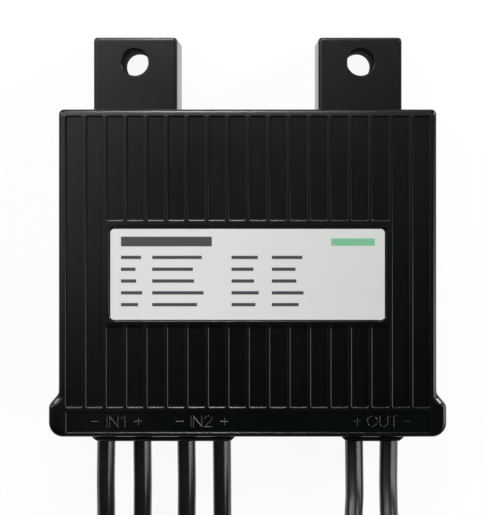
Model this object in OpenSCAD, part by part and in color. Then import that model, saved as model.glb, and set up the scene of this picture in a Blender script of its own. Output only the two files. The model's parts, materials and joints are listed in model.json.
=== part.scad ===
// Dual-input solar power optimizer: ribbed moulded case with two bolt tabs, screwed
// back cover, sealed electronics, and six leads that end in locking connectors.
// It lies on its back: +Z is out of the ribbed front, +Y is towards the bolt tabs.

/* [Housing] */
// Width of the upper part of the case
body_w = 124.9; // [122:0.1:126]
// Height of the case without tabs and cable exits
body_h = 108; // [106:0.5:112]
// Depth of the case from back to ribbed front
depth = 34; // [33:0.5:38]
// Width of the flange along the cable edge
flange_w = 131.5; // [129:0.1:134]
// Straight height of the flange
flange_h = 10.6; // [10:0.1:12]
// Height of the sloped shoulder above the flange
shoulder_h = 3.7; // [2.5:0.1:4]
// Rounding of the front edges
edge_r = 1.3; // [0.8:0.1:1.5]
// Rounding of the upper corners
corner_r = 1.7; // [1.6:0.1:3]
// Rounding of the flange corners
flange_r = 4.7; // [3:0.1:6]
// Thickness of the side walls
wall = 2.6; // [2.4:0.1:3]
// Thickness of the front wall
front_wall = 3; // [2.8:0.1:4]

/* [Ribbed front] */
// Number of sunk pockets across the front
pocket_count = 18; // [18:1:18]
// Distance from one pocket to the next
pocket_pitch = 6.75; // [6.4:0.05:6.8]
// Width of the rib between two pockets
rib_w = 1.35; // [1.0:0.05:2]
// Depth of the pockets
pocket_depth = 1.3; // [0.8:0.1:1.5]
// Plain band above the pockets
top_band = 2; // [1.6:0.1:3]
// Plain band below the pockets
bottom_band = 9.9; // [9:0.1:11]
// Pockets at each side that run past the label panel
side_pockets = 2; // [1:1:4]
// Height of the flat label panel
panel_h = 35.3; // [34:0.1:40]

/* [Label and lettering fields] */
// Width of the label plate
label_w = 90.6; // [80:0.2:91]
// Height of the label plate
label_h = 30; // [24:1:31]
// Thickness of the label plate
label_t = 0.25; // [0.1:0.05:0.35]
// Gap at each end of the label in its recess
label_gap = 0.6; // [0.4:0.1:1]
// Gap below the label in its recess
label_low_gap = 0.5; // [0.4:0.1:1]
// Gap above the label in its recess
label_high_gap = 1; // [0.4:0.1:1.5]
// Depth of the label recess
label_recess = 0.4; // [0.3:0.1:0.8]
// Height of the shallow lettering field along the cable edge
legend_h = 6.9; // [5:0.1:7]
// Depth of the lettering field
legend_depth = 0.5; // [0.3:0.1:0.8]

/* [Bolt tabs] */
// Width of a tab at its front face
tab_w = 27.9; // [26:0.1:30]
// Height of a tab above the case
tab_rise = 24.7; // [22:0.1:28]
// Depth of a tab from the back
tab_depth = 26; // [20:0.5:30]
// Widening of a tab towards the back, per side
tab_draft = 0.6; // [0:0.1:0.8]
// Distance between the two bolt holes
hole_spacing = 75.6; // [74:0.2:78]
// Diameter of the bolt holes
hole_d = 9; // [8:0.1:10]
// Hole centre below the top of the tab
hole_drop = 8.3; // [7.6:0.1:10]
// How far the middle of a tab is set from its hole towards the other tab
tab_shift = 0.2; // [0:0.1:0.5]

/* [Cable exits] */
// Diameter of the leads
cable_d = 6.2; // [5.8:0.1:6.2]
// Distance between the two leads of a pair
pair_pitch = 12; // [11.8:0.1:12.2]
// Height of the exit bosses below the case
boss_h = 3; // [2.4:0.1:4]
// Depth of the exit bosses
boss_depth = 14; // [12:0.5:16]

/* [Back cover] */
// Thickness of the back cover
cover_t = 2.5; // [2.2:0.1:3]
// Thickness of the gasket
gasket_t = 1; // [0.8:0.1:1.2]

/* [Hidden] */
$fn = 48;
both_sides = [-1, 1];
// How far a cut reaches past the face that it opens
over = 1;
// How far a piece is sunk into the one it grows from
sunk = 0.5;
slack = 0.2;

// Places along Y, with the origin in the middle of tabs, case and exit bosses
total_h = tab_rise + body_h + boss_h;
tab_top = total_h / 2;
body_top = tab_top - tab_rise;
body_bottom = body_top - body_h;
exit_y = -total_h / 2;
mid_y = (body_top + body_bottom) / 2;
flange_top = body_bottom + flange_h;
shoulder_top = flange_top + shoulder_h;
hole_y = tab_top - hole_drop;

// Ribbed front
field_w = pocket_count * pocket_pitch - rib_w;
pocket_w = pocket_pitch - rib_w;
field_low = body_bottom + bottom_band;
field_high = body_top - top_band;
panel_low = mid_y - panel_h / 2;
panel_high = mid_y + panel_h / 2;
label_z = depth - label_recess;
label_r = 1.3;
recess_w = label_w + 2 * label_gap;
recess_h = label_h + label_low_gap + label_high_gap;
recess_r = 2.5;
label_y = mid_y + (label_low_gap - label_high_gap) / 2;
legend_band = 1.4;
legend_low = body_bottom + legend_band;

// Lead exits: two input pairs and one output pair
pair_x = [-41.9, -14.8, 42];
pair_side = [-0.5, 0.5];
lead_z = 17;
cable_r = cable_d / 2;
bore_r = cable_r + slack;
pair_boss_w = 23.9;
seal_w = 19.4;
seal_t = 10;
seal_depth = 7;
seal_r = 2;
retainer_t = 2;
retainer_h = 22;
retainer_screw_r = 1;
retainer_screw_z = 8.5;
retainer_screw_in = 4.5;

// Back opening, ledge and screw ears
opening_w = body_w - 2 * wall;
opening_h = body_h - 2 * wall;
opening_r = 2;
ledge = 4;
cavity_w = opening_w - 2 * ledge;
cavity_h = opening_h - 2 * ledge;
cavity_low = mid_y - cavity_h / 2;
seat_z = cover_t + gasket_t;
ceiling_z = depth - front_wall;
ear_r = 3.6;
ear_x = cavity_w / 2 - 1;
ear_reach = cavity_h / 2 - 1;
low_ear_x = 28.35;
ears = [[-ear_x, mid_y + ear_reach], [ear_x, mid_y + ear_reach],
        [-ear_x, mid_y], [ear_x, mid_y],
        [-low_ear_x, mid_y - ear_reach], [low_ear_x, mid_y - ear_reach]];
screw_r = 1.5;
screw_head_r = 2.8;
screw_head_h = 1.4;
screw_end = 14;
slot_w = 0.8;

// Circuit board
board_z = 7;
board_t = 1.6;
board_top = board_z + board_t;
board_w = 107;
board_low = -48;
board_high = 32;
posts = [[-44, 26], [44, 26], [-44, -36], [44, -36]];
post_r = 3;
board_screw_r = 1.25;
board_screw_len = 12;
board_head_h = 2;
spreader_y = 9;
spreader_t = 2;
pad_t = 0.5;
inductors = [[-20, 10], [20, 10]];
core_r = 13.5;
core_hole = 7;
core_h = 12;
winding_t = 2;

// Locking connectors, along their own axis from the cable end to the tip
nut_len = 17;
nut_r = 7.8;
collar_r = 8.3;
barrel_r = 7.2;
collar_end = 20;
barrel_end = 38;
tip = 60;
nose_r = 5;
sleeve_r = 5.4;
cable_in = 8;
crimp_r = 2.9;
socket_r = 2.6;
pin_r = 2;
latch_w = 6;
arm_out = 8.7;
arm_t = 1.7;
groove_z = barrel_end + 1;
groove_w = 2;
groove_r = nose_r - 0.8;

// Leads: places of the connectors and the stations of each route
conn_y = -210;
conn_x = [-57.7, -39.9, -22.1, -4.3];
// Station: [y, share of the way from exit to connector across, z]
input_route = [[-50, 0, 17], [-62, 0, 17], [-72, 0, 17], [-82, 0, 16.6], [-92, 0.02, 15.1],
               [-102, 0.06, 12.8], [-112, 0.14, 10.3], [-122, 0.26, 7.8], [-132, 0.4, 5.7],
               [-142, 0.53, 4.3], [-152, 0.66, 3.6], [-162, 0.77, 3.4], [-172, 0.87, 3.6],
               [-182, 0.94, 4.6], [-192, 0.98, 6.1], [-202, 1, 7.6], [-211, 1, 8.3], [-218, 1, 8.3]];
// The hanks: two nested racetracks, each one lead wide and four leads high
hank_x = 35.3;
hank_low = -243.7;
hank_high = -143.7;
hank_z = 1.2;
hank_layers = 4;
lane_r = [27.2, 21];
// Station: [y, share of the way from exit to hank lane across, z]
lead_1_route = [[-50, 0, 17], [-72, 0, 17], [-86, 0, 17.8], [-98, 0.05, 20.6], [-108, 0.24, 22.6],
                [-118, 0.54, 23.1], [-130, 0.9, 23], [-139, 1, 22.9], [-143.7, 1, 22.9]];
lead_2_route = [[-50, 0, 17], [-72, 0, 17], [-86, 0, 18], [-98, 0.03, 21.2], [-108, 0.19, 23],
                [-118, 0.48, 23.1], [-130, 0.87, 23], [-139, 1, 22.9], [-143.7, 1, 22.9]];
// Station: [y, share of the way from hank lane to connector across, z]
tail_1_route = [[-243.7, 0, 4.3], [-236, 0, 4.3], [-229, 0.06, 4.3], [-223, 0.21, 4.3],
                [-217.5, 0.5, 4.3], [-212, 0.79, 4.8], [-206, 0.95, 6.8], [-199, 1, 8.3],
                [-191, 1, 8.3]];
tail_2_route = [[-243.7, 0, 4.3], [-242.7, 0, 4.3], [-236, 0.04, 4.3], [-230, 0.14, 4.3],
                [-225.7, 0.27, 4.4], [-221.4, 0.5, 4.9], [-217, 0.73, 5.8], [-211, 0.89, 7.2],
                [-205, 0.97, 8.1], [-199, 1, 8.3], [-191, 1, 8.3]];
tail_window = 46;
tail_y = -199;
tail_side = 8.8;
tie_y = -190;
tie_w = 4.8;
tie_t = 1.2;

case_black = [0.06, 0.06, 0.065];
jacket_black = [0.03, 0.03, 0.03];
rubber_black = [0.09, 0.09, 0.09];
silver = [0.86, 0.87, 0.86];
steel = [0.62, 0.62, 0.64];
copper = [0.72, 0.42, 0.22];

// Flat shapes

module round_rect(w, h, r) {
    square([w - 2 * r, h], center = true);
    square([w, h - 2 * r], center = true);
    for (x = both_sides, y = both_sides)
        translate([x * (w / 2 - r), y * (h / 2 - r)]) circle(r);
}

// Section of a slab of width w and thickness d, with its two upper edges rounded
module slab_section(w, d, r) {
    translate([-w / 2, 0]) square([w, d - r]);
    translate([r - w / 2, 0]) square([w - 2 * r, d]);
    for (s = both_sides) translate([s * (w / 2 - r), d - r]) circle(r);
}

// Racetrack around the two turning points of a hank
module racetrack(r) {
    translate([hank_x - r, hank_low]) square([2 * r, hank_high - hank_low]);
    for (y = [hank_low, hank_high]) translate([hank_x, y]) circle(r);
}

module at_pair(k) {
    for (s = pair_side) translate([pair_x[k] + s * pair_pitch, 0, lead_z]) children();
}

// Outer form of the case

// Slab with a section along Y, from y0 to y1
module slab_along_y(w, y0, y1, r) {
    translate([0, y1, 0]) rotate([90, 0, 0]) linear_extrude(y1 - y0) slab_section(w, depth, r);
}

// Slab with a section along X, of length w
module slab_along_x(w, y0, y1, r) {
    translate([-w / 2, (y0 + y1) / 2, 0])
        rotate([90, 0, 90]) linear_extrude(w) slab_section(y1 - y0, depth, r);
}

// Upright corner of radius rc whose front edge is rounded
module corner_post(rc, re) {
    rotate_extrude() intersection() {
        square([rc, depth]);
        union() {
            square([rc, depth - re]);
            square([rc - re, depth]);
            translate([rc - re, depth - re]) circle(re);
        }
    }
}

module upper_body() {
    low = body_bottom + flange_r;
    slab_along_y(body_w, low, body_top - corner_r, edge_r);
    slab_along_x(body_w - 2 * corner_r, low, body_top, edge_r);
    for (s = both_sides)
        translate([s * (body_w / 2 - corner_r), body_top - corner_r, 0]) corner_post(corner_r, edge_r);
}

// Everything under the slope of one shoulder, its front edge rounded
module shoulder_side() {
    tilt = atan2((flange_w - body_w) / 2, shoulder_h);
    reach = flange_w;
    shoulder_r = 1.5 * edge_r;
    translate([flange_w / 2, flange_top, 0]) rotate(tilt) translate([-reach, reach, 0])
        rotate([90, 0, 0]) linear_extrude(2 * reach) slab_section(2 * reach, depth, shoulder_r);
}

// Flange along the cable edge, sloped off to the upper body at both shoulders
module flange() {
    high = shoulder_top + wall;
    intersection() {
        union() {
            slab_along_y(flange_w, body_bottom + flange_r, high, edge_r);
            slab_along_x(flange_w - 2 * flange_r, body_bottom, high + flange_h, edge_r);
            for (s = both_sides)
                translate([s * (flange_w / 2 - flange_r), body_bottom + flange_r, 0])
                    corner_post(flange_r, edge_r);
        }
        shoulder_side();
        mirror([1, 0, 0]) shoulder_side();
    }
}

// Puts a piece on both bolt holes, its +X side away from the middle
module at_tabs() {
    for (s = [0, 1]) mirror([s, 0, 0]) translate([hole_spacing / 2, 0, 0]) children();
}

// Tab with drafted sides, rounded upper corners and front edges eased in two steps
module tab_form() {
    back_w = tab_w + 2 * tab_draft;
    root = 4;
    face_r = 0.8;
    step_r = 0.3 * face_r;
    top_r = 1.2;
    intersection() {
        translate([0, body_top + (tab_rise - root) / 2, 0])
            linear_extrude(tab_depth) round_rect(back_w, tab_rise + root, top_r);
        translate([0, tab_top, 0]) rotate([90, 0, 0]) linear_extrude(tab_rise + root)
            polygon([[-back_w / 2, 0], [back_w / 2, 0], [tab_w / 2, tab_depth - face_r],
                     [tab_w / 2 - step_r, tab_depth - step_r],
                     [tab_w / 2 - face_r, tab_depth], [face_r - tab_w / 2, tab_depth],
                     [step_r - tab_w / 2, tab_depth - step_r],
                     [-tab_w / 2, tab_depth - face_r]]);
        translate([-back_w / 2, tab_top, 0]) rotate([90, 0, 90]) linear_extrude(back_w)
            polygon([[-tab_rise - root, 0], [0, 0], [0, tab_depth - face_r],
                     [-step_r, tab_depth - step_r], [-face_r, tab_depth],
                     [-tab_rise - root, tab_depth]]);
    }
}

// Small flare where a tab grows out of the case
module tab_flare() {
    flare = 0.9;
    for (s = [0, 1]) mirror([s, 0, 0])
        translate([tab_w / 2 - slack / 2, body_top, 0]) linear_extrude(tab_depth - flare) difference() {
            translate([0, -sunk]) square([flare + tab_draft, flare + sunk]);
            translate([flare + tab_draft, flare]) circle(flare);
        }
}

// Hollow in the back of a tab, round the bolt boss and the web under it
module tab_coring() {
    core_wall = 3;
    boss_r = hole_d / 2 + 3.6;
    web = 2.6;
    core_low = body_top + 1.4;
    front = 4;
    translate([0, 0, -over]) linear_extrude(tab_depth - front + over) difference() {
        translate([core_wall - tab_w / 2 - tab_shift, core_low])
            square([tab_w - 2 * core_wall, tab_top - core_wall - core_low]);
        translate([0, hole_y]) circle(boss_r);
        translate([-web / 2, core_low - over]) square([web, tab_rise]);
    }
}

// Exit boss under the case: slanted ends and a rounded lower edge
module exit_boss(x, w) {
    slant = 3;
    round_r = 1.5;
    root = 2;
    intersection() {
        translate([x, 0, lead_z - boss_depth / 2]) linear_extrude(boss_depth)
            polygon([[-w / 2, body_bottom + root], [w / 2, body_bottom + root], [w / 2, body_bottom],
                     [w / 2 - slant, exit_y], [slant - w / 2, exit_y], [-w / 2, body_bottom]]);
        translate([x + w / 2, exit_y, lead_z]) rotate([0, -90, 0]) linear_extrude(w) union() {
            translate([-boss_depth / 2, round_r]) square([boss_depth, boss_h + root]);
            translate([round_r - boss_depth / 2, 0]) square([boss_depth - 2 * round_r, boss_h]);
            for (s = both_sides) translate([s * (boss_depth / 2 - round_r), round_r]) circle(round_r);
        }
    }
}

// Cut-outs of the ribbed front

module pocket(x, low, high) {
    translate([x, low, depth - pocket_depth]) cube([pocket_w, high - low, pocket_depth + over]);
}

module front_pockets() {
    for (i = [0 : pocket_count - 1]) {
        x = i * pocket_pitch - field_w / 2;
        if (i < side_pockets || i >= pocket_count - side_pockets) {
            pocket(x, field_low, field_high);
        } else {
            pocket(x, panel_high, field_high);
            pocket(x, field_low, panel_low);
        }
    }
}

module front_fields() {
    translate([0, mid_y, label_z]) linear_extrude(label_recess + over)
        round_rect(recess_w, recess_h, recess_r);
    translate([-field_w / 2, legend_low, depth - legend_depth])
        cube([field_w, legend_h, legend_depth + over]);
}

// Inside of the case

module ear_plan(r) {
    for (p = ears) translate(p) circle(r);
}

module cavity_plan() {
    difference() {
        translate([0, mid_y]) round_rect(cavity_w, cavity_h, opening_r / 2);
        ear_plan(ear_r);
    }
}

module case_hollow() {
    translate([0, mid_y, -over]) linear_extrude(seat_z + over)
        round_rect(opening_w, opening_h, opening_r);
    translate([0, 0, seat_z - sunk]) linear_extrude(ceiling_z - seat_z + sunk) cavity_plan();
}

module seal_plan() {
    round_rect(seal_w, seal_t, seal_r);
}

// Seats of the seals, bores of the leads and holes of the retainers' screws
module lead_passages() {
    for (k = [0 : 2]) {
        translate([pair_x[k], cavity_low + sunk, lead_z]) rotate([90, 0, 0])
            linear_extrude(seal_depth + sunk) seal_plan();
        at_pair(k) translate([0, cavity_low, 0]) rotate([90, 0, 0])
            cylinder(r = bore_r, h = cavity_low - exit_y + over);
        for (s = both_sides) translate([pair_x[k], cavity_low + sunk, lead_z + s * retainer_screw_z])
            rotate([90, 0, 0]) cylinder(r = retainer_screw_r, h = retainer_screw_in + over);
    }
}

module front_case() {
    color(case_black) difference() {
        union() {
            difference() {
                union() {
                    upper_body();
                    flange();
                    exit_boss((pair_x[0] + pair_x[1]) / 2, pair_x[1] - pair_x[0] + pair_boss_w);
                    exit_boss(pair_x[2], pair_boss_w);
                    at_tabs() translate([-tab_shift, 0, 0]) {
                        tab_form();
                        tab_flare();
                    }
                }
                case_hollow();
            }
            for (p = posts) translate([p[0], p[1], board_top])
                cylinder(r = post_r, h = ceiling_z - board_top + sunk);
        }
        front_pockets();
        front_fields();
        lead_passages();
        at_tabs() {
            tab_coring();
            translate([0, hole_y, -over]) cylinder(d = hole_d, h = tab_depth + 2 * over);
        }
        for (p = ears) translate([p[0], p[1], 0]) cylinder(r = screw_r, h = screw_end + sunk);
        for (p = posts) translate([p[0], p[1], 0])
            cylinder(r = board_screw_r, h = board_z - board_head_h + board_screw_len + sunk);
    }
}

// Closing pieces

module back_cover() {
    color(case_black) difference() {
        translate([0, mid_y, 0]) linear_extrude(cover_t)
            round_rect(opening_w - 2 * slack, opening_h - 2 * slack, opening_r - slack);
        for (p = ears) translate([p[0], p[1], -over]) {
            cylinder(r = screw_head_r + slack, h = screw_head_h + slack + over);
            cylinder(r = screw_r + slack, h = cover_t + 2 * over);
        }
    }
}

module cover_gasket() {
    color(rubber_black) translate([0, 0, cover_t]) linear_extrude(gasket_t) difference() {
        translate([0, mid_y])
            round_rect(opening_w - 2 * slack, opening_h - 2 * slack, opening_r - slack);
        cavity_plan();
        ear_plan(screw_r + slack);
    }
}

// Driver cross in a screw head
module cross_slot(reach, deep) {
    translate([-reach, -slot_w / 2, -over]) cube([2 * reach, slot_w, deep + over]);
    translate([-slot_w / 2, -reach, -over]) cube([slot_w, 2 * reach, deep + over]);
}

module cover_screws() {
    slot_reach = 1.7;
    slot_deep = 0.8;
    color(steel) for (p = ears) translate([p[0], p[1], slack]) difference() {
        union() {
            cylinder(r = screw_head_r, h = screw_head_h);
            cylinder(r = screw_r, h = screw_end - slack);
        }
        cross_slot(slot_reach, slot_deep);
    }
}

module label_plate() {
    color(silver) translate([0, label_y, label_z]) linear_extrude(label_t)
        round_rect(label_w, label_h, label_r);
}

// Electronics

module circuit_board() {
    ear_gap = 1;
    screw_gap = 0.35;
    color([0.05, 0.3, 0.16]) translate([0, 0, board_z]) linear_extrude(board_t) difference() {
        translate([0, (board_low + board_high) / 2])
            square([board_w, board_high - board_low], center = true);
        ear_plan(ear_r + ear_gap);
        for (p = posts) translate(p) circle(board_screw_r + screw_gap);
    }
}

module board_screws() {
    head_r = 2.75;
    slot_reach = 1.6;
    slot_deep = 1;
    color(steel) for (p = posts) translate([p[0], p[1], board_z - board_head_h]) difference() {
        union() {
            cylinder(r = head_r, h = board_head_h);
            cylinder(r = board_screw_r, h = board_screw_len);
        }
        cross_slot(slot_reach, slot_deep);
    }
}

module heat_spreader() {
    size = [84, 40];
    corner = 2;
    color([0.75, 0.76, 0.78]) translate([0, spreader_y, cover_t]) linear_extrude(spreader_t)
        round_rect(size[0], size[1], corner);
}

module thermal_pad() {
    size = [80, 34];
    corner = 1;
    color([0.55, 0.6, 0.66]) translate([0, spreader_y, cover_t + spreader_t]) linear_extrude(pad_t)
        round_rect(size[0], size[1], corner);
}

// Two rows of switches under the board, pressed on the thermal pad
module power_transistors() {
    columns = [-33, -11, 11, 33];
    rows = [spreader_y - 9, spreader_y + 9];
    side = 10;
    low = cover_t + spreader_t + pad_t;
    color([0.1, 0.1, 0.1]) for (x = columns, y = rows)
        translate([x - side / 2, y - side / 2, low]) cube([side, side, board_z - low]);
}

module ring_solid(r_out, r_in, h) {
    rotate_extrude() translate([r_in, 0]) square([r_out - r_in, h]);
}

module inductor_core(p) {
    color([0.25, 0.26, 0.27]) translate([p[0], p[1], board_top + winding_t])
        ring_solid(core_r, core_hole, core_h);
}

module inductor_winding(p) {
    color(copper) translate([p[0], p[1], board_top]) difference() {
        ring_solid(core_r + winding_t, core_hole - winding_t, core_h + 2 * winding_t);
        translate([0, 0, winding_t]) ring_solid(core_r, core_hole, core_h);
    }
}

module input_capacitors() {
    columns = [-40, -23, -6, 11];
    row = -28;
    size = [15, 8, 14];
    color([0.75, 0.12, 0.1]) for (x = columns)
        translate([x - size[0] / 2, row, board_top]) cube(size);
}

module output_capacitors() {
    places = [[32, -22], [16, -38]];
    can_r = 7;
    can_h = 20;
    color([0.12, 0.14, 0.3]) for (p = places)
        translate([p[0], p[1], board_top]) cylinder(r = can_r, h = can_h);
}

module bypass_diodes() {
    reach = 43;
    row = 3;
    size = [9, 10, 4];
    color([0.1, 0.1, 0.1]) for (s = both_sides)
        translate([s * reach - size[0] / 2, row, board_top]) cube(size);
}

module control_processor() {
    place = [-6, -43, board_top];
    size = [14, 14, 1.6];
    color([0.08, 0.08, 0.08]) translate(place) cube(size);
}

module signal_transformer() {
    place = [-6, 20, board_top];
    size = [12, 12, 10];
    color([0.2, 0.2, 0.22]) translate(place) cube(size);
}

// Crimped terminal: barrel on the lead's axis and a foot down to the board
module terminal() {
    start = -42;
    barrel = 2.8;
    barrel_len = 8;
    foot = 4;
    translate([0, start, 0]) rotate([90, 0, 0]) cylinder(r = barrel, h = barrel_len);
    translate([-barrel, start - foot, board_top - lead_z])
        cube([2 * barrel, foot, lead_z - board_top]);
}

module input_terminals() {
    color(copper) for (k = [0, 1]) at_pair(k) terminal();
}

module output_terminals() {
    color(copper) at_pair(2) terminal();
}

// Rubber seal with two holes, in the wall behind an exit boss
module lead_seal(k) {
    color(rubber_black) difference() {
        translate([pair_x[k], cavity_low, lead_z]) rotate([90, 0, 0]) linear_extrude(seal_depth)
            seal_plan();
        at_pair(k) translate([0, cavity_low + over, 0]) rotate([90, 0, 0])
            cylinder(r = cable_r, h = seal_depth + 2 * over);
    }
}

// Plate that holds a seal in its seat
module seal_retainer(k) {
    screw_gap = 0.2;
    color([0.2, 0.2, 0.2]) difference() {
        translate([pair_x[k], cavity_low + retainer_t, lead_z]) rotate([90, 0, 0])
            linear_extrude(retainer_t) round_rect(seal_w, retainer_h, seal_r);
        at_pair(k) translate([0, cavity_low + retainer_t + over, 0]) rotate([90, 0, 0])
            cylinder(r = bore_r, h = retainer_t + 2 * over);
        for (s = both_sides)
            translate([pair_x[k], cavity_low + retainer_t + over, lead_z + s * retainer_screw_z])
                rotate([90, 0, 0])
                    cylinder(r = retainer_screw_r + screw_gap, h = retainer_t + 2 * over);
    }
}

module retainer_screws() {
    head = 1.4;
    head_r = 1.9;
    color(steel) for (k = [0 : 2], s = both_sides)
        translate([pair_x[k], cavity_low + retainer_t + head, lead_z + s * retainer_screw_z])
            rotate([90, 0, 0]) {
                cylinder(r = head_r, h = head);
                cylinder(r = retainer_screw_r, h = head + retainer_t + retainer_screw_in);
            }
}

// Leads

// Points of a route: the share column runs from x0 to x1
function route(stations, x0, x1) = [for (s = stations) [x0 + s[1] * (x1 - x0), s[0], s[2]]];
function unit(v) = v / norm(v);
function heading(p, i) = unit(p[min(i + 1, len(p) - 1)] - p[max(i - 1, 0)]);
sides = 10;
// Ring of points around the route, square to its heading
function ring(p, i) =
    let (t = heading(p, i), across = unit(cross(t, [0, 0, 1])), up = cross(across, t))
    [for (k = [0 : sides - 1])
        p[i] + cable_r * (cos(360 * k / sides) * across + sin(360 * k / sides) * up)];

module tube(p) {
    last = len(p) - 1;
    points = [for (i = [0 : last], q = ring(p, i)) q];
    skin = [for (i = [0 : last - 1], k = [0 : sides - 1])
        let (a = i * sides + k, b = i * sides + (k + 1) % sides) [a, a + sides, b + sides, b]];
    first_cap = [for (k = [0 : sides - 1]) k];
    last_cap = [for (k = [sides - 1 : -1 : 0]) last * sides + k];
    polyhedron(points, concat(skin, [first_cap, last_cap]));
}

function exit_x(k, s) = pair_x[k] + s * pair_pitch;
input_exit = [exit_x(0, -0.5), exit_x(0, 0.5), exit_x(1, -0.5), exit_x(1, 0.5)];
output_exit = [exit_x(2, 0.5), exit_x(2, -0.5)];
function output_x(i) = hank_x + (2 * i - 1) * tail_side;

module input_lead(i) {
    color(jacket_black) tube(route(input_route, input_exit[i], conn_x[i]));
}

module output_lead(i) {
    stations = [lead_1_route, lead_2_route][i];
    color(jacket_black) tube(route(stations, output_exit[i], hank_x + lane_r[i]));
}

module output_tail(i) {
    stations = [tail_1_route, tail_2_route][i];
    color(jacket_black) tube(route(stations, hank_x - lane_r[i], output_x(i)));
}

// Closed solid of one hank: its top layer is open at the upper turn, where the leads
// come in, and its lowest layer on the left side, where the tails leave
module output_hank(i) {
    top_layer = hank_z + (hank_layers - 1) * cable_d;
    span = 2 * (lane_r[0] + cable_d);
    color(jacket_black) difference() {
        translate([0, 0, hank_z]) linear_extrude(hank_layers * cable_d) difference() {
            racetrack(lane_r[i] + cable_r);
            racetrack(lane_r[i] - cable_r);
        }
        translate([hank_x - span / 2, hank_high, top_layer]) cube([span, span, cable_d + over]);
        translate([hank_x - span / 2, hank_low, hank_z - over])
            cube([span / 2, tail_window, cable_d + over + slack]);
    }
}

// Band round both hanks on each long side, with a square head on top
module hank_ties() {
    outer = lane_r[0] + cable_r;
    inner = lane_r[1] - cable_r;
    tall = hank_layers * cable_d;
    head = [5, 6, 2.4];
    color([0.05, 0.05, 0.05]) for (s = both_sides)
        translate([hank_x + s * (outer + inner) / 2, tie_y, hank_z + tall / 2]) {
            rotate([90, 0, 0]) linear_extrude(tie_w, center = true) difference() {
                square([outer - inner + 2 * tie_t, tall + 2 * tie_t], center = true);
                square([outer - inner, tall], center = true);
            }
            translate([0, 0, tall / 2 + tie_t + head[2] / 2]) cube(head, center = true);
        }
}

// Connectors

// Puts a piece that is built along +Z on a lead's end, tip towards -Y or +Y
module on_input(i) {
    translate([conn_x[i], conn_y, collar_r]) rotate([90, 0, 0]) children();
}

module on_output(i) {
    translate([output_x(i), tail_y, collar_r]) rotate([-90, 0, 0]) children();
}

// Gland nut with finger scallops
module gland_nut() {
    flutes = 8;
    flute_r = 2.2;
    flute_out = nut_r + 1.6;
    flute_end = 2.5;
    bevel = 1.5;
    back = 5;
    thread_wall = 1.8;
    difference() {
        union() {
            translate([0, 0, bevel]) cylinder(r = nut_r, h = nut_len - bevel);
            cylinder(r1 = nut_r - bevel, r2 = nut_r, h = bevel);
        }
        translate([0, 0, -over]) cylinder(r = cable_r + slack / 2, h = nut_len);
        translate([0, 0, back]) cylinder(r = nut_r - thread_wall, h = nut_len);
        for (k = [0 : flutes - 1]) rotate(360 * (k + 0.5) / flutes)
            translate([flute_out, 0, flute_end]) cylinder(r = flute_r, h = nut_len - 2 * flute_end);
    }
}

// Rear of every connector: threaded spigot in the nut, collar with flats, barrel
module connector_rear() {
    spigot = 5.5;
    spigot_r = nut_r - 2;
    nut_gap = 0.3;
    flat = 0.6;
    rib = [1.6, barrel_r + 0.5, barrel_end - collar_end - 4];
    translate([0, 0, spigot]) cylinder(r = spigot_r, h = collar_end - spigot);
    intersection() {
        translate([0, 0, nut_len + nut_gap])
            cylinder(r = collar_r, h = collar_end - nut_len - nut_gap);
        translate([flat - collar_r, -collar_r, 0])
            cube([2 * (collar_r - flat), 2 * collar_r, tip]);
    }
    translate([0, 0, collar_end]) cylinder(r = barrel_r, h = barrel_end - collar_end);
    for (k = [0 : 3]) rotate(45 + 90 * k) translate([-rib[0] / 2, 0, collar_end]) cube(rib);
}

// Sleeve end: open barrel with a latch window in each side, a pin inside
module sleeve_connector() {
    window = [5, latch_w, 7];
    window_z = 46;
    color(jacket_black) difference() {
        union() {
            connector_rear();
            translate([0, 0, barrel_end]) cylinder(r = barrel_r, h = tip - barrel_end);
        }
        cylinder(r = cable_r + slack / 2, h = cable_in);
        cylinder(r = crimp_r, h = barrel_end + over);
        translate([0, 0, barrel_end]) cylinder(r = sleeve_r, h = tip);
        for (s = both_sides)
            translate([s * barrel_r - window[0] / 2, -latch_w / 2, window_z]) cube(window);
    }
}

// Nose end: narrow nose with a seal groove, between two latch arms with hooks
module nose_connector() {
    nose_end = tip - 2;
    arm_z = 33;
    arm_len = 20;
    bridge = [arm_out - barrel_r + 1.2, latch_w, 4];
    hook = [2, latch_w, 3];
    color(jacket_black) difference() {
        union() {
            connector_rear();
            translate([0, 0, barrel_end]) cylinder(r = nose_r, h = nose_end - barrel_end);
            for (s = [0, 1]) mirror([s, 0, 0]) translate([arm_out, -latch_w / 2, arm_z]) {
                translate([-bridge[0], 0, 0]) cube(bridge);
                translate([-arm_t, 0, 0]) cube([arm_t, latch_w, arm_len]);
                translate([-arm_t - over, 0, arm_len - hook[2]]) cube(hook);
            }
        }
        cylinder(r = cable_r + slack / 2, h = cable_in);
        cylinder(r = socket_r, h = tip);
        translate([0, 0, groove_z]) ring_solid(nose_r + over, groove_r, groove_w);
    }
}

module pin_contact() {
    pin_end = tip - 7;
    color(silver) {
        translate([0, 0, cable_in]) cylinder(r = crimp_r, h = barrel_end + over - cable_in);
        cylinder(r = pin_r, h = pin_end);
    }
}

module socket_contact() {
    socket_end = tip - 3;
    socket_deep = 13;
    color(silver) difference() {
        translate([0, 0, cable_in]) cylinder(r = socket_r, h = socket_end - cable_in);
        translate([0, 0, socket_end - socket_deep]) cylinder(r = pin_r, h = socket_deep + over);
    }
}

function is_sleeve(i) = i % 2 == 0;

module connector(i) {
    if (is_sleeve(i)) sleeve_connector();
    else nose_connector();
}

module contact(i) {
    difference() {
        if (is_sleeve(i)) pin_contact();
        else socket_contact();
        cylinder(r = cable_d, h = cable_in);
    }
}

// Seal in the groove of a nose
module nose_seal() {
    proud = 0.4;
    translate([0, 0, groove_z]) ring_solid(nose_r + proud, groove_r, groove_w);
}

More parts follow.
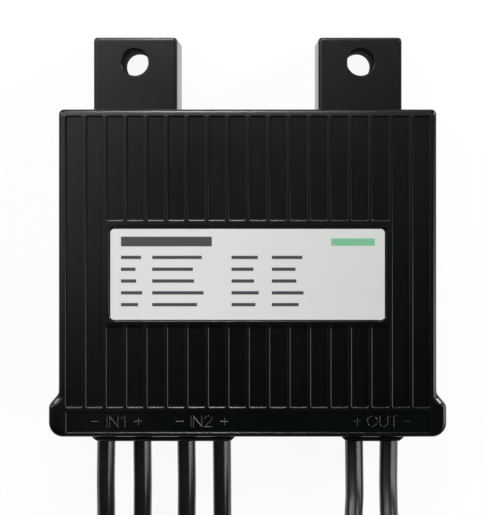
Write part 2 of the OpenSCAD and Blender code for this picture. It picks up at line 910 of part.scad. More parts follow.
module nose_seals() {
    color([0.3, 0.3, 0.3]) {
        for (i = [1, 3]) on_input(i) nose_seal();
        on_output(1) nose_seal();
    }
}

front_case();
back_cover();
cover_gasket();
cover_screws();
label_plate();
circuit_board();
board_screws();
heat_spreader();
thermal_pad();
power_transistors();
for (i = [0, 1]) {
    inductor_core(inductors[i]);
    inductor_winding(inductors[i]);
}
input_capacitors();
output_capacitors();
bypass_diodes();
control_processor();
signal_transformer();
input_terminals();
output_terminals();
lead_seal(0);  // input_seal_1
lead_seal(1);  // input_seal_2
lead_seal(2);  // output_seal
seal_retainer(0);  // input_retainer_1
seal_retainer(1);  // input_retainer_2
seal_retainer(2);  // output_retainer
retainer_screws();
for (i = [0 : 3]) {
    input_lead(i);
    on_input(i) connector(i);
    on_input(i) color(jacket_black) gland_nut();
    on_input(i) contact(i);
}
for (i = [0, 1]) {
    output_lead(i);
    output_hank(i);
    output_tail(i);
    on_output(i) connector(i);
    on_output(i) color(jacket_black) gland_nut();
    on_output(i) contact(i);
}
hank_ties();
nose_seals();
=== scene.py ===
import json
import math

import bmesh
import bpy
import numpy as np
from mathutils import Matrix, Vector


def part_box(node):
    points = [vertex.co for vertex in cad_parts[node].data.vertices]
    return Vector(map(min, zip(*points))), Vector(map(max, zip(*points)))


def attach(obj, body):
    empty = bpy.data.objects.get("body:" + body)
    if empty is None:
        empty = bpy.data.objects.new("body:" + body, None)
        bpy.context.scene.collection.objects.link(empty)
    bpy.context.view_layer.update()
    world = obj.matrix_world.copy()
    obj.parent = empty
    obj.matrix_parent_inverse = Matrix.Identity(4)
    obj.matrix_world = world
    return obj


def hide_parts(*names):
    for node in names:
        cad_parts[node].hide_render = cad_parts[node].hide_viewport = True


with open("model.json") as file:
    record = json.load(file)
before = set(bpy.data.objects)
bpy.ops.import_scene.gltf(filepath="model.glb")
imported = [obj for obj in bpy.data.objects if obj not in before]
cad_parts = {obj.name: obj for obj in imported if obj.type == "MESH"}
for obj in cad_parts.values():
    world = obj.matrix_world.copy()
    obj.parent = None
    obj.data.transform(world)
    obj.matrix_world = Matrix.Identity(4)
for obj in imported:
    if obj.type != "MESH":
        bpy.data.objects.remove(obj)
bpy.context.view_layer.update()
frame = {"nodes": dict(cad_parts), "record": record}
cadNodes = frame["nodes"]
scene = bpy.context.scene
scene.view_settings.view_transform = "Standard"
mm = 0.001  # pieces are worked out in millimetres
hair = 0.01  # millimetres that count as none
coverLow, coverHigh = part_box("back_cover")
middleY = (coverLow[1] + coverHigh[1]) / 2 / mm  # the cover sits in the middle of the case
print("frame loaded:", len(cadNodes), "nodes")

# camera: straight down on the front, its axis off the picture's middle as in the photograph
photoView = {
    "x": 4.3, "aboveMiddle": 27.6, "height": 612.0,
    "lens": 122.4, "sensor": 36.0, "shiftX": -0.0361, "shiftY": -0.131, "nearest": 10.0,
}
cameraData = bpy.data.cameras.new("photoCamera")
cameraData.lens = photoView["lens"]
cameraData.sensor_width = photoView["sensor"]  # lies along the picture's long side
cameraData.shift_x = photoView["shiftX"]
cameraData.shift_y = photoView["shiftY"]
cameraData.clip_start = photoView["nearest"] * mm
camera = bpy.data.objects.new("photoCamera", cameraData)
cameraY = middleY + photoView["aboveMiddle"]
camera.location = (photoView["x"] * mm, cameraY * mm, photoView["height"] * mm)
scene.collection.objects.link(camera)
scene.camera = camera
print("camera placed")


# shaders: a socket that can stand in a sum
class Wire:
    def __init__(self, tree, socket):
        self.tree = tree
        self.socket = socket

    def plug(self, socket):
        self.tree.links.new(self.socket, socket)

    def node(self, kind, settings=None, sockets=None, out=0):  # any node: type, settings, sockets
        made = self.tree.nodes.new("ShaderNode" + kind)
        for key, value in (settings or {}).items():
            setattr(made, key, value)
        for key, value in (sockets or {}).items():
            if isinstance(value, Wire):
                value.plug(made.inputs[key])
            else:
                made.inputs[key].default_value = value
        return Wire(self.tree, made.outputs[out])

    def math(self, operation, first, second):
        return self.node("Math", {"operation": operation}, {0: first, 1: second})

    def __add__(self, other):
        return self.math("ADD", self, other)

    def __radd__(self, other):
        return self.math("ADD", other, self)

    def __sub__(self, other):
        return self.math("SUBTRACT", self, other)

    def __rsub__(self, other):
        return self.math("SUBTRACT", other, self)

    def __mul__(self, other):
        return self.math("MULTIPLY", self, other)

    def __rmul__(self, other):
        return self.math("MULTIPLY", other, self)

    def __truediv__(self, other):
        return self.math("DIVIDE", self, other)

    def __gt__(self, other):
        return self.math("GREATER_THAN", self, other)

    def __lt__(self, other):
        return self.math("LESS_THAN", self, other)

    def whole(self):  # whole number below
        return self.math("FLOOR", self, 0.0)

    def either(self, other):
        return self.math("MAXIMUM", self, other)

    def within(self, low, high):
        return (self > low) * (self < high)

    def along(self, axis):  # x, y or z of a place, in millimetres
        return self.node("SeparateXYZ", None, {0: self}, axis) * (1 / mm)

    def noise(self, scale, detail=2.0, rough=0.5):  # self is a place
        sockets = {"Vector": self, "Scale": scale, "Detail": detail, "Roughness": rough}
        return self.node("TexNoise", None, sockets)

    def blend(self, low, high):  # colour from low to high as self goes from 0 to 1
        sockets = {0: self, 6: low if isinstance(low, Wire) else (*low, 1.0),
                   7: high if isinstance(high, Wire) else (*high, 1.0)}
        return self.node("Mix", {"data_type": "RGBA"}, sockets, 2)

    def bump(self, strength, depth):
        return self.node("Bump", None, {"Height": self, "Strength": strength, "Distance": depth})


# a material with its even values set, its shader's sockets and the place on the piece
def startFinish(name, constants):
    material = bpy.data.materials.new(name)
    material.use_nodes = True
    shader = material.node_tree.nodes["Principled BSDF"]
    for key, value in constants.items():
        shader.inputs[key].default_value = value
    coordinates = material.node_tree.nodes.new("ShaderNodeTexCoord")
    return material, shader.inputs, Wire(material.node_tree, coordinates.outputs["Object"])


# what a plain finish has unless its own look says otherwise
plainLook = {
    "metal": 0.0, "shine": 0.5, "cloud": 60.0, "cloudDetail": 3.0, "grainRough": 0.6,
    "spread": 0.12, "wander": 0.12, "glint": 0.1, "depth": 0.00008,
}


# plain finish: two near tones, a roughness that wanders and a grain in the surface
def grainFinish(name, changes):
    look = {**plainLook, **changes}
    material, shader, place = startFinish(name, {
        "Metallic": look["metal"], "Specular IOR Level": look["shine"], "Coat Roughness": look["rough"]})
    cloud = place.noise(look["cloud"], look["cloudDetail"])
    grain = place.noise(look["grain"], rough=look["grainRough"])
    tone = np.array(look["tone"])
    darker, lighter = tone * (1 - look["spread"]), tone * (1 + look["spread"])
    cloud.blend(tuple(darker), tuple(lighter)).plug(shader["Base Color"])
    rough = look["rough"] + (cloud - 0.5) * look["wander"] + (grain - 0.5) * look["glint"]
    rough.plug(shader["Roughness"])
    grain.bump(look["relief"], look["depth"]).plug(shader["Normal"])
    if "glossAbove" in look:  # height in millimetres above which the surface was polished
        ((place.along(2) > look["glossAbove"]) * look["gloss"]).plug(shader["Coat Weight"])
    return material


looks = {
    "case_black": {"tone": (0.0004, 0.0012, 0.0012), "rough": 0.22, "grain": 5200.0, "relief": 0.02,
                   "cloud": 30.0, "shine": 0.45, "gloss": 0.12, "glossAbove": 33.56},
    "bore_black": {"tone": (0.0034, 0.0036, 0.0038), "rough": 0.85, "grain": 3800.0, "relief": 0.1,
                   "shine": 0.08},
    "connector_black": {"tone": (0.0045, 0.0045, 0.0048), "rough": 0.42, "grain": 4200.0, "relief": 0.06},
    "cable_jacket": {"tone": (0.0088, 0.0086, 0.0084), "rough": 0.25, "grain": 1500.0, "relief": 0.006,
                     "cloud": 120.0, "shine": 0.7},
    "seal_rubber": {"tone": (0.02, 0.02, 0.02), "rough": 0.7, "grain": 3000.0, "relief": 0.15},
    "tie_nylon": {"tone": (0.011, 0.011, 0.0115), "rough": 0.42, "grain": 2500.0, "relief": 0.08},
    "screw_steel": {"tone": (0.55, 0.55, 0.54), "rough": 0.34, "grain": 6000.0, "relief": 0.1, "metal": 1.0},
    "contact_metal": {"tone": (0.72, 0.71, 0.68), "rough": 0.26, "grain": 5000.0, "relief": 0.06,
                      "metal": 1.0},
    "spreader_metal": {"tone": (0.66, 0.67, 0.69), "rough": 0.38, "grain": 3500.0, "relief": 0.12,
                       "metal": 1.0},
    "copper_wire": {"tone": (0.62, 0.27, 0.12), "rough": 0.3, "grain": 2600.0, "relief": 0.12, "metal": 1.0},
    "pad_grey": {"tone": (0.24, 0.28, 0.33), "rough": 0.8, "grain": 1800.0, "relief": 0.2},
    "chip_black": {"tone": (0.014, 0.014, 0.015), "rough": 0.55, "grain": 6500.0, "relief": 0.15},
    "core_grey": {"tone": (0.06, 0.062, 0.066), "rough": 0.5, "grain": 4000.0, "relief": 0.2},
    "capacitor_red": {"tone": (0.34, 0.018, 0.014), "rough": 0.28, "grain": 3000.0, "relief": 0.05},
    "capacitor_blue": {"tone": (0.012, 0.017, 0.07), "rough": 0.3, "grain": 2600.0, "relief": 0.05},
    "board_green": {"tone": (0.012, 0.075, 0.03), "rough": 0.4, "grain": 2200.0, "relief": 0.1,
                    "spread": 0.25},
}
finishes = {name: grainFinish(name, look) for name, look in looks.items()}
print("plain finishes made:", len(finishes))

# every solid of the frame takes the finish of its own slot
for part in frame["record"]["subparts"]:
    if part["material_slot"] in finishes:
        target = cadNodes[part["node"]].data.materials
        target.clear()
        target.append(finishes[part["material_slot"]])


def smoothStep(t):  # 0 below 0, 1 above 1, three t squared less two t cubed between
    t = np.clip(t, 0.0, 1.0)
    return t * t * (3 - 2 * t)


def gridQuads(rows, cols, wrapCols=False, wrapRows=False):  # corner numbers of every cell of a grid
    cellRows, cellCols = np.arange(rows - 1 + wrapRows), np.arange(cols - 1 + wrapCols)
    row, col = np.meshgrid(cellRows, cellCols, indexing="ij")
    below, right = (row + 1) % rows, (col + 1) % cols
    corners = [row * cols + col, row * cols + right, below * cols + right, below * cols + col]
    return np.stack(corners, -1).reshape(-1, 4)


def skin(loops):  # rings of points joined in their order, the first and the last closed flat
    count, around = loops.shape[:2]
    caps = [list(range(around)), list(range((count - 1) * around, count * around))]
    return loops.reshape(-1, 3), gridQuads(count, around, True).tolist() + caps


def joined(solids):  # several closed skins as one
    starts = np.cumsum([0] + [len(points) for points, _ in solids])
    faces = [[corner + start for corner in face]
             for (_, some), start in zip(solids, starts) for face in some]
    return np.concatenate([points for points, _ in solids]), faces


meshing = {"merge": 1e-7, "sharp": 35.0}  # metres between points that fall together, degrees of a sharp edge


# a mesh from points and faces in millimetres, merged, turned outwards and set on the part
def addPiece(name, solid, finish, sharp=meshing["sharp"], originY=0.0):
    points, faces = solid[0] + [0.0, originY, 0.0], solid[1]
    mesh = bpy.data.meshes.new(name)
    mesh.from_pydata((points * mm).tolist(), [], faces)
    work = bmesh.new()
    work.from_mesh(mesh)
    bmesh.ops.remove_doubles(work, verts=work.verts, dist=meshing["merge"])
    bmesh.ops.recalc_face_normals(work, faces=work.faces)
    work.to_mesh(mesh)
    work.free()
    mesh.shade_smooth()
    mesh.set_sharp_from_angle(angle=math.radians(sharp))
    mesh.materials.append(finish)
    piece = bpy.data.objects.new(name, mesh)
    scene.collection.objects.link(piece)
    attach(piece, "root")
    return piece


# cubic through given stations, each slope taken from its neighbours, sampled every step along it
def smoothPath(stations, step):
    stations = np.asarray(stations, float)
    chord = np.r_[0.0, np.cumsum(np.linalg.norm(np.diff(stations, axis=0), axis=1))]
    slope = np.gradient(stations, chord, axis=0)
    along = np.linspace(0.0, chord[-1], int(chord[-1] / step) + 1)
    left = np.clip(np.searchsorted(chord, along, "right") - 1, 0, len(chord) - 2)
    gap = (chord[left + 1] - chord[left])[:, None]
    t = (along - chord[left])[:, None] / gap
    start, end = stations[left], stations[left + 1]
    between = (1 + 2 * t) * (1 - t) ** 2 * start + t * t * (3 - 2 * t) * end
    return between + t * (1 - t) * gap * ((1 - t) * slope[left] - t * slope[left + 1])


def tube(path, radius, sides):  # circle carried along a path, kept square to its heading
    heading = np.gradient(path, axis=0)
    heading /= np.linalg.norm(heading, axis=1, keepdims=True)
    across = np.cross(heading, [0.0, 0.0, 1.0])
    across /= np.linalg.norm(across, axis=1, keepdims=True)
    upward = np.cross(across, heading)
    turn = np.linspace(0, 2 * math.pi, sides, endpoint=False)[None, :, None]
    circle = np.cos(turn) * across[:, None, :] + np.sin(turn) * upward[:, None, :]
    return path[:, None, :] + radius * circle


# leads: the stations are [y, share of the way across, z]
lead = {
    "diameter": 6.2, "sides": 24, "step": 2.5, "exitY": middleY - 57.0, "exitZ": 17.0,
    "swayFrom": -62.0, "swayOver": 40.0,
}
inputLead = {
    "exits": [-48.0, -35.9, -20.95, -8.9],
    "sways": [-0.3, 0.15, 0.2, 0.15],
    "connectors": [-57.7, -39.9, -22.1, -4.3],
    "stations": [[-62, 0, 17], [-72, 0, 17], [-82, 0, 16.6], [-92, 0.02, 15.1], [-102, 0.06, 12.8],
                 [-112, 0.14, 10.3], [-122, 0.26, 7.8], [-132, 0.4, 5.7], [-142, 0.53, 4.3],
                 [-152, 0.66, 3.6], [-162, 0.77, 3.4], [-172, 0.87, 3.6], [-182, 0.94, 4.6],
                 [-192, 0.98, 6.1], [-202, 1, 7.6], [-211, 1, 8.3], [-218, 1, 8.3]],
}
outputLead = {
    "exits": [47.9, 35.95],
    "sways": [-0.25, 0.25],
    "laneRadii": [27.2, 21.0],
    "connectors": [26.5, 44.1],
    "hank": {"x": 35.3, "low": -243.7, "high": -143.7, "floor": 1.2, "layers": 4, "ramp": 46.0,
             "runPoints": 11, "bendPoints": 9},
    "toHank": [
        [[-62, 0, 17], [-72, 0, 17], [-86, 0, 17.8], [-98, 0.02, 20.6], [-108, 0.21, 22.6],
         [-118, 0.54, 23.1], [-130, 0.9, 23], [-139, 1, 22.9]],
        [[-62, 0, 17], [-72, 0, 17], [-86, 0, 18], [-98, 0, 21.2], [-108, 0.16, 23],
         [-118, 0.48, 23.1], [-130, 0.87, 23], [-139, 1, 22.9]],
    ],
    "fromHank": [
        [[-236, 0, 4.3], [-229, 0.06, 4.3], [-223, 0.21, 4.3], [-217.5, 0.5, 4.3],
         [-212, 0.79, 4.8], [-206, 0.95, 6.8], [-199, 1, 8.3], [-191, 1, 8.3]],
        [[-242.7, 0, 4.3], [-236, 0.04, 4.3], [-230, 0.14, 4.3], [-225.7, 0.27, 4.4],
         [-221.4, 0.5, 4.9], [-217, 0.73, 5.8], [-211, 0.89, 7.2], [-205, 0.97, 8.1],
         [-199, 1, 8.3], [-191, 1, 8.3]],
    ],
}


# x goes from one place to the other by each station's share, with a slow sine bend to the side
def stationPoints(stations, fromX, toX, sway=0.0):
    y, share, z = np.array(stations, float).T
    bent = sway * np.sin(math.pi * np.clip((lead["swayFrom"] - y) / lead["swayOver"], 0, 1)) ** 2
    return np.stack([fromX + share * (toX - fromX) + bent, y, z], 1)


# racetrack turns, each a run down, a half turn, a run up that sinks one layer, and a half turn back
def hankPoints(hank, radius, thick):
    bend = np.linspace(0, math.pi, hank["bendPoints"])
    down = np.linspace(hank["high"], hank["low"], hank["runPoints"])
    up = down[::-1][1:]
    acrossBend, alongBend = radius * np.cos(bend), radius * np.sin(bend)
    level = len(down) + len(bend) - 1  # points before the run that sinks
    x = np.r_[np.full(len(down), radius), acrossBend[1:], np.full(len(up), -radius), -acrossBend[1:-1]]
    y = np.r_[down, hank["low"] - alongBend[1:], up, hank["high"] + alongBend[1:-1]]
    sinking = smoothStep((up - hank["high"] + hank["ramp"]) / hank["ramp"])
    sink = np.r_[np.zeros(level), sinking, np.ones(len(bend) - 2)]
    turn = np.arange(hank["layers"])[:, None]
    z = hank["floor"] + thick * (hank["layers"] - 0.5 - turn - sink[None, :])
    layers = np.broadcast_to(np.stack([x + hank["x"], y], 1), (hank["layers"], len(x), 2))
    points = np.concatenate([layers, z[:, :, None]], 2).reshape(-1, 3)
    return points[: level - len(x)]  # the last turn ends after its lower half turn


# a round tube along the smooth path, in place of the frame's lead solids
def addLead(name, stations, exitX, replaced):
    path = smoothPath(stations, lead["step"])
    tubeSkin = skin(tube(path, lead["diameter"] / 2, lead["sides"]))
    cord = addPiece(name, tubeSkin, finishes["cable_jacket"])
    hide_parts(*replaced)
    leavesAt = (exitX * mm, lead["exitY"] * mm, lead["exitZ"] * mm)
    (path * mm).tolist()


def endPieces(side, i):  # solids at the far end of a lead
    return [f"{side}_{kind}_{i + 1}" for kind in ("connector", "nut", "contact")]


for i, (exitX, endX) in enumerate(zip(inputLead["exits"], inputLead["connectors"])):
    stations = stationPoints(inputLead["stations"], exitX, endX, inputLead["sways"][i])
    pieces = endPieces("input", i) + ["nose_seals"] * (i == 1)
    addLead(f"inputCable{i + 1}", stations, exitX, [f"input_lead_{i + 1}"])
for i, (exitX, endX) in enumerate(zip(outputLead["exits"], outputLead["connectors"])):
    hank, radius = outputLead["hank"], outputLead["laneRadii"][i]
    stations = np.concatenate([
        stationPoints(outputLead["toHank"][i], exitX, hank["x"] + radius, outputLead["sways"][i]),
        hankPoints(hank, radius, lead["diameter"]),
        stationPoints(outputLead["fromHank"][i], hank["x"] - radius, endX)])
    pieces = endPieces("output", i) + ["hank_ties"] * (i == 0)
    replaced = [f"output_{kind}_{i + 1}" for kind in ("lead", "hank", "tail")]
    addLead(f"outputCable{i + 1}", stations, exitX, replaced)
print("leads laid")

# the case: one closed skin, a height over its outline, then walls, back rim and hollow; y is from its middle
case = {
    "bodyHalf": 62.45, "flangeHalf": 65.75, "low": -54.0, "high": 54.3, "depth": 34.0,
    "flangeTop": -43.4, "shoulderTop": -39.7, "shoulderBlend": 0.4, "flangeBlend": 0.4,
    "edgeRound": 1.3, "backRound": 0.5, "topCorner": 1.7, "lowCorner": 4.7,
    "fieldHalf": 60.7, "topFall": 0.067,
    "wall": 2.6, "ledge": 4.0, "openingCorner": 2.0, "hollowCorner": 1.0, "seat": 3.5, "ceiling": 31.0,
}
slopeRound = {  # the larger rounding on the shoulder's slope, and how it fades out above and below
    "radius": 2.2, "above": 0.4, "fadeAbove": 1.2, "below": 0.8, "fadeBelow": 1.4,
    "clear": 0.1, "share": 1.36,
}
frontGrid = {  # lines of the front's grid; its margin follows the outline
    "marginStart": 1.4, "marginLimit": 1.45, "slopeShare": 1.34, "nearest": 0.02,
    "wallOutside": -0.1, "wallTurn": 1.25, "wallLines": 5, "footShares": (0.0, 1.0, 1.5),
    "edgeLines": 9, "lowCornerLines": 15, "topCornerLines": 8, "labelCornerLines": 9, "labelCornerFrom": 0.5,
    "shoulderLines": 29, "belowFlange": 1.0, "aboveShoulder": 2.2, "plainLines": 37,
}
ribs = {
    "count": 18, "pitch": 6.75, "pocket": 5.4, "depth": 1.3, "low": -44.1, "high": 52.0, "panelLow": -17.65,
    "panelHigh": 17.65, "longAtEachSide": 2,
}
ribSide = {"depth": ribs["depth"], "before": 0.245, "edgeRound": 0.3, "foot": 0.14}
lowEnd = {"depth": ribs["depth"], "before": 0.37, "edgeRound": 0.55, "foot": 0.14}
highEnd = {"depth": ribs["depth"], "before": 0.1, "edgeRound": 0.15, "foot": 0.14}
labelRecess = {"halfX": 45.9, "halfY": 15.75, "corner": 2.5,
               "depth": 0.4, "before": 0.1, "edgeRound": 0.3, "foot": 0.1}
legendField = {"half": 60.075, "low": -52.6, "high": -45.7,
               "depth": 0.5, "before": 0.1, "edgeRound": 0.3, "foot": 0.12}
wallStart = 0.97  # share of an edge's radius at which its straight wall starts
steepest = 2.0  # most that the outline leans, outside its corners


# half width at a height: the body's, growing down the shoulder's slope to the flange's, then corner arcs
def halfWidth(y):
    reach = case["flangeHalf"] - case["bodyHalf"]
    slope = reach / (case["shoulderTop"] - case["flangeTop"])
    grow = (case["shoulderTop"] - y) * slope
    grow = (grow + np.sqrt(grow ** 2 + case["shoulderBlend"] ** 2)) / 2
    grow = reach - ((reach - grow) + np.sqrt((reach - grow) ** 2 + case["flangeBlend"] ** 2)) / 2
    below = np.clip(case["low"] + case["lowCorner"] - y, 0, case["lowCorner"])
    above = np.clip(y - case["high"] + case["topCorner"], 0, case["topCorner"])
    cut = case["lowCorner"] - np.sqrt(case["lowCorner"] ** 2 - below ** 2)
    return case["bodyHalf"] + grow - cut - case["topCorner"] + np.sqrt(case["topCorner"] ** 2 - above ** 2)


# distance in from the outline, exact in the corners and along the sides
def insideBy(x, y, half):
    tilt = np.clip(np.gradient(half[:, 0], y[:, 0]), -steepest, steepest)[:, None]
    side = (half - np.abs(x)) / np.sqrt(1 + tilt ** 2)
    inside = np.minimum(side, np.minimum(y - case["low"], case["high"] - y))
    lowCorners = (case["flangeHalf"], case["lowCorner"], case["low"] + case["lowCorner"] - y)
    topCorners = (case["bodyHalf"], case["topCorner"], y - case["high"] + case["topCorner"])
    for flat, corner, edge in (lowCorners, topCorners):
        out = np.abs(x) - flat + corner
        inside = np.where((out > 0) & (edge > 0), corner - np.hypot(out, edge), inside)
    return np.clip(inside, 0.0, None)


# share of a hollow's depth at t in from its edge: a quarter round over the edge, then a steep straight wall
def edgeWall(t, hollow):
    radius = hollow["edgeRound"]
    over = np.clip(t + hollow["before"], 0, wallStart * radius)
    rounded = (radius - np.sqrt(radius ** 2 - over ** 2)) / hollow["depth"]
    down = np.clip((t + hollow["before"] - wallStart * radius) / hollow["foot"], 0, 1)
    return rounded + (1 - rounded) * down


# where a wall needs lines of the grid, from just outside its edge to just past its foot
def wallLines(hollow):
    radius = hollow["edgeRound"]
    roundLines = radius * np.sin(np.linspace(0, frontGrid["wallTurn"], frontGrid["wallLines"]))
    footLines = wallStart * radius + hollow["foot"] * np.array(frontGrid["footShares"])
    return np.r_[frontGrid["wallOutside"] * radius, roundLines, footLines] - hollow["before"]


def pocketRun(y, low, high):  # walls at the two ends of a pocket, the lower one rounder
    return edgeWall(y - low, lowEnd) * edgeWall(high - y, highEnd)


# depth of the pockets: walls in x repeat with the pitch, walls in y close them at the bands and the panel
def pocketDepth(x, y):
    rib = (ribs["pitch"] - ribs["pocket"]) / 2
    first = ribs["count"] * ribs["pitch"] / 2 - rib
    t = (x + first + rib) % ribs["pitch"] - rib
    across = edgeWall(t, ribSide) * edgeWall(ribs["pocket"] - t, ribSide) * (np.abs(x) < first + rib)
    longOnes = pocketRun(y, ribs["low"], ribs["high"])
    shortOnes = pocketRun(y, ribs["low"], ribs["panelLow"]) + pocketRun(y, ribs["panelHigh"], ribs["high"])
    shortHalf = first + rib - ribs["longAtEachSide"] * ribs["pitch"]
    return ribs["depth"] * across * np.where(np.abs(x) > shortHalf, longOnes, shortOnes)


def recessDepth(x, y):  # the label's recess: distance in from a rounded rectangle, then a short wall
    outX = np.abs(x) - labelRecess["halfX"] + labelRecess["corner"]
    outY = np.abs(y) - labelRecess["halfY"] + labelRecess["corner"]
    corner = labelRecess["corner"] - np.hypot(np.clip(outX, 0, None), np.clip(outY, 0, None))
    inside = np.where((outX > 0) | (outY > 0), corner, labelRecess["corner"])
    return labelRecess["depth"] * edgeWall(inside, labelRecess)


def legendDepth(x, y):  # shallow field along the cable edge: distance in from its nearest side, then a wall
    ends = np.minimum(y - legendField["low"], legendField["high"] - y)
    inside = np.minimum(ends, legendField["half"] - np.abs(x))
    return legendField["depth"] * edgeWall(inside, legendField)


# radius of the front's rounded edge at a height: larger on the shoulder's slope, where the ribs leave room
def edgeRadius(y, half):
    fromTop = smoothStep((case["shoulderTop"] + slopeRound["above"] - y) / slopeRound["fadeAbove"])
    fromFlange = smoothStep((y - case["flangeTop"] + slopeRound["below"]) / slopeRound["fadeBelow"])
    free = (half - case["fieldHalf"] - slopeRound["clear"]) / slopeRound["share"]
    free = np.clip(free, case["edgeRound"], slopeRound["radius"])
    return case["edgeRound"] + fromTop * fromFlange * (free - case["edgeRound"])


def roundEdge(inside, radius):  # drop of the front's rounded edge: a quarter round by the distance in
    bend = np.clip(radius - inside, 0, radius)
    return radius - np.sqrt(radius ** 2 - bend ** 2)


def spread(*runs):  # sorted grid lines without near doubles
    lines = np.unique(np.concatenate([np.ravel(run) for run in runs]))
    return lines[np.r_[True, np.diff(lines) > frontGrid["nearest"]]]


def arcLines(radius, count):  # even steps of a quarter round, seen along one of its ends
    return radius * (1 - np.cos(np.linspace(0, 1, count) * math.pi / 2))


edgeSteps = case["edgeRound"] * (1 - np.sin(np.linspace(0, 1, frontGrid["edgeLines"]) * math.pi / 2))[::-1]
sideSteps, lowSteps, highSteps = (wallLines(wall) for wall in (ribSide, lowEnd, highEnd))
recessSteps, legendSteps = wallLines(labelRecess), wallLines(legendField)
pocketStart = (np.arange(ribs["count"]) - ribs["count"] / 2)[:, None] * ribs["pitch"]
pocketStart = pocketStart + (ribs["pitch"] - ribs["pocket"]) / 2
cornerSteps = np.linspace(frontGrid["labelCornerFrom"], labelRecess["corner"], frontGrid["labelCornerLines"])
cornerSteps = np.r_[cornerSteps, recessSteps]
cornerX, cornerY = labelRecess["halfX"] - cornerSteps, labelRecess["halfY"] - cornerSteps
inner = spread(
    pocketStart + sideSteps, pocketStart + ribs["pocket"] - sideSteps, cornerX, -cornerX,
    legendField["half"] - legendSteps, legendSteps - legendField["half"],
    [-case["fieldHalf"], case["fieldHalf"]])
inner = inner[np.abs(inner) <= case["fieldHalf"]]
shoulderFrom = case["flangeTop"] - frontGrid["belowFlange"]
shoulderTo = case["shoulderTop"] + frontGrid["aboveShoulder"]
rows = spread(
    case["low"] + edgeSteps, case["high"] - edgeSteps,
    case["low"] + arcLines(case["lowCorner"], frontGrid["lowCornerLines"]),
    case["high"] - arcLines(case["topCorner"], frontGrid["topCornerLines"]),
    legendField["low"] + legendSteps, legendField["high"] - legendSteps,
    ribs["low"] + lowSteps, ribs["high"] - highSteps,
    ribs["panelHigh"] + lowSteps, ribs["panelLow"] - highSteps, cornerY, -cornerY,
    np.linspace(shoulderFrom, shoulderTo, frontGrid["shoulderLines"]),
    np.linspace(case["low"], case["high"], frontGrid["plainLines"]))
half = halfWidth(rows)[:, None]
radius = edgeRadius(rows[:, None], half)
free = half - case["fieldHalf"]
onBody = np.minimum(free / (case["bodyHalf"] - case["fieldHalf"]), 1.0)
onSlope = frontGrid["slopeShare"] * radius / case["edgeRound"]
widen = np.where(radius > case["edgeRound"] + hair, onSlope, onBody)
widen = np.minimum(widen, free / frontGrid["marginLimit"])
margin = half - np.r_[frontGrid["marginStart"], edgeSteps[::-1]][None, :] * widen
gridX = np.concatenate([-margin[:, ::-1], np.broadcast_to(inner, (len(rows), len(inner))), margin], 1)
gridY = np.broadcast_to(rows[:, None], gridX.shape)
gridZ = (case["depth"] - roundEdge(insideBy(gridX, gridY, half), radius) - pocketDepth(gridX, gridY)
         - recessDepth(gridX, gridY) - legendDepth(gridX, gridY)
         - case["topFall"] * np.clip(gridY - ribs["high"], 0, None))
front = np.stack([gridX, gridY, gridZ], 2)
number = np.arange(gridX.size).reshape(gridX.shape)
border = np.concatenate([number[0, :-1], number[:-1, -1], number[-1, :0:-1], number[:0:-1, 0]])
rim = front.reshape(-1, 3)[border]


def rimAt(inset, z):  # the outline moved in along its normal, at height z
    heading = np.roll(rim[:, :2], -1, 0) - np.roll(rim[:, :2], 1, 0)
    heading /= np.linalg.norm(heading, axis=1, keepdims=True)
    moved = rim[:, :2] + inset * np.stack([-heading[:, 1], heading[:, 0]], 1)
    return np.concatenate([moved, np.full((len(rim), 1), z)], 1)


def rimTo(inset, corner, z):  # the outline pulled to a rounded rectangle inside the body, at height z
    halfX, halfY = case["bodyHalf"] - inset, case["high"] - inset
    x = rim[:, 0] / halfWidth(rim[:, 1]) * halfX
    y = rim[:, 1] / case["high"] * halfY
    outX, outY = np.abs(x) - halfX + corner, np.abs(y) - halfY + corner
    inCorner = (outX > 0) & (outY > 0)
    pull = np.where(inCorner, 1 - corner / np.maximum(np.hypot(outX, outY), 1e-6), 0.0)
    return np.stack([x - np.sign(x) * outX * pull, y - np.sign(y) * outY * pull, np.full(len(rim), z)], 1)


backTurn = np.linspace(0, math.pi / 2, 5)
backRim = [rimAt(case["backRound"] * (1 - math.cos(a)), case["backRound"] * (1 - math.sin(a)))
           for a in backTurn]
hollowInset = case["wall"] + case["ledge"]
backLoops = np.array(backRim + [
    rimTo(case["wall"], case["openingCorner"], 0.0),
    rimTo(case["wall"], case["openingCorner"], case["seat"]),
    rimTo(hollowInset, case["hollowCorner"], case["seat"]),
    rimTo(hollowInset, case["hollowCorner"], case["ceiling"])])
backNumbers = gridX.size + np.arange(backLoops[:, :, 0].size).reshape(backLoops.shape[:2])
loopNumbers = np.concatenate([border[None, :], backNumbers])
walls = loopNumbers.ravel()[gridQuads(len(loopNumbers), len(border), True)]
caseFaces = gridQuads(*gridX.shape).tolist() + walls.tolist() + [loopNumbers[-1].tolist()]
caseShell = (np.concatenate([front.reshape(-1, 3), backLoops.reshape(-1, 3)]), caseFaces)
print("case front:", gridX.shape[0], "by", gridX.shape[1])


def roundedBox(halfX, halfY, corner, around=8):  # outline of a rounded rectangle, anticlockwise
    turn = np.linspace(0, math.pi / 2, around)
    quarter = np.arange(4)[:, None] * math.pi / 2 + turn[None, :]
    centreX = np.array([1, -1, -1, 1])[:, None] * (halfX - corner)
    centreY = np.array([1, 1, -1, -1])[:, None] * (halfY - corner)
    x, y = centreX + corner * np.cos(quarter), centreY + corner * np.sin(quarter)
    return np.stack([x.ravel(), y.ravel()], 1)


